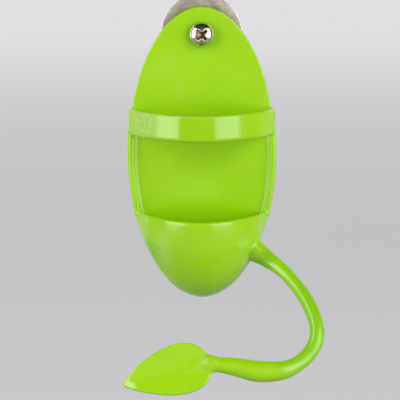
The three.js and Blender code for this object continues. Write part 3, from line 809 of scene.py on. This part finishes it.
def floor_paper():
    """Light grey paper that camera, glossy and transmission rays see paler, most of all far behind."""
    n = Nodes("floor")
    mottle = n.ramp(n.noise(3.0, 2.0), 0.3, 0.7)
    n.put(n.shader.inputs["Base Color"], n.mix(mottle, PAPER, PAPER_MOTTLE))
    n.shader.inputs["Roughness"].default_value = 0.9
    n.shader.inputs["Specular IOR Level"].default_value = 0.1
    n.shader.inputs["Emission Color"].default_value = PAPER_GLOW
    place = n.add("ShaderNodeSeparateXYZ", {0: n.place}).outputs
    back, aside = place["Y"], n.math("ABSOLUTE", place["X"])
    path = n.add("ShaderNodeLightPath").outputs
    seen = n.math("MAXIMUM", path["Is Glossy Ray"], path["Is Transmission Ray"])
    seen = n.math("MAXIMUM", path["Is Camera Ray"], seen)
    glow = n.plus(n.ramp(back, *NEAR_GLOW), n.ramp(back, *FAR_GLOW))
    at_the_sides = n.times(n.ramp(aside, *ASIDE_GLOW), n.ramp(back, *ASIDE_FADE))
    glow = n.plus(glow, n.math("MAXIMUM", at_the_sides, n.ramp(back, *FORWARD_GLOW)))
    n.put(n.shader.inputs["Emission Strength"], n.times(glow, seen))
    return n.material


floor.data.materials.append(floor_paper())

# Light
# The room's colours from straight in front, at 0, to straight behind, at 1
FRONT_AT, FRONT_GLOW = 0.05, (0.50, 0.49, 0.47, 1)
SIDE_AT, SIDE_GLOW = 0.30, (0.26, 0.255, 0.25, 1)
EDGE_FROM, EDGE_TO, EDGE_GLOW = 0.50, 0.66, (0.12, 0.118, 0.115, 1)
BACK_AT, BACK_GLOW = 0.88, (0.92, 0.92, 0.95, 1)
# The ceiling dims between these upward directions, down to this strength
CEILING_FROM, CEILING_TO, CEILING_STRENGTH = 0.25, 0.85, 0.25


def studio_world():
    """A pale wall behind the object, a greyer room in front and to the sides, and a dim ceiling."""
    world = bpy.data.worlds.new("studio")
    bpy.context.scene.world = world
    world.use_nodes = True
    nodes, links = world.node_tree.nodes, world.node_tree.links
    place = nodes.new("ShaderNodeTexCoord")
    split = nodes.new("ShaderNodeSeparateXYZ")
    links.new(place.outputs["Generated"], split.inputs[0])
    level = nodes.new("ShaderNodeMapRange")
    level.inputs["From Min"].default_value = -1.0
    links.new(split.outputs["Y"], level.inputs["Value"])
    glow = nodes.new("ShaderNodeValToRGB")
    glow.color_ramp.interpolation = "EASE"
    stops = glow.color_ramp.elements
    stops[0].position, stops[0].color = FRONT_AT, FRONT_GLOW
    stops[1].position, stops[1].color = BACK_AT, BACK_GLOW
    for position, colour in ((SIDE_AT, SIDE_GLOW), (EDGE_FROM, EDGE_GLOW), (EDGE_TO, EDGE_GLOW)):
        stops.new(position).color = colour
    links.new(level.outputs["Result"], glow.inputs["Fac"])
    links.new(glow.outputs["Color"], nodes["Background"].inputs["Color"])
    ceiling = nodes.new("ShaderNodeMapRange")
    ceiling.interpolation_type = "SMOOTHSTEP"
    dimming = {"From Min": CEILING_FROM, "From Max": CEILING_TO, "To Min": 1.0, "To Max": CEILING_STRENGTH}
    for key, value in dimming.items():
        ceiling.inputs[key].default_value = value
    links.new(split.outputs["Z"], ceiling.inputs["Value"])
    links.new(ceiling.outputs["Result"], nodes["Background"].inputs["Strength"])


# Both softboxes, in metres and degrees
LAMP_TARGET = Vector((0, -0.02, -0.035))
LAMP_ELEVATION, LAMP_DISTANCE, LAMP_HEIGHT = 14.0, 0.85, 0.97


def softbox(name, azimuth, width, radiance):
    """A rectangular lamp facing the band's middle, azimuth degrees to the right of straight ahead."""
    lamp = bpy.data.lights.new(name, "AREA")
    lamp.shape = "RECTANGLE"
    lamp.size, lamp.size_y = width, LAMP_HEIGHT
    lamp.energy = math.pi * width * LAMP_HEIGHT * radiance
    made = bpy.data.objects.new(name, lamp)
    bpy.context.scene.collection.objects.link(made)
    a, e = math.radians(azimuth), math.radians(LAMP_ELEVATION)
    towards = Vector((math.sin(a) * math.cos(e), -math.cos(a) * math.cos(e), math.sin(e)))
    made.location = LAMP_TARGET + towards * LAMP_DISTANCE
    made.rotation_euler = towards.to_track_quat("Z", "Y").to_euler()


studio_world()
softbox("softbox_left", -67.7, 0.526, 4.5)
softbox("softbox_right", 53.3, 0.711, 3.85)

# Camera
# Metres, degrees and, for the lens and its sensor, millimetres
CAMERA_PLACE = (-0.00045, -0.55, 0.0422)
LOOK_DOWN, ROLL = 10.81, 0.2
LENS, SENSOR = 132.57, 36.0
camera = bpy.data.objects.new("camera", bpy.data.cameras.new("camera"))
bpy.context.scene.collection.objects.link(camera)
camera.data.sensor_width = SENSOR
camera.data.lens = LENS
camera.location = CAMERA_PLACE
camera.rotation_euler = Euler((math.radians(90 - LOOK_DOWN), math.radians(ROLL), 0), "XYZ")
bpy.context.scene.camera = camera
bpy.context.scene.view_settings.view_transform = "Standard"
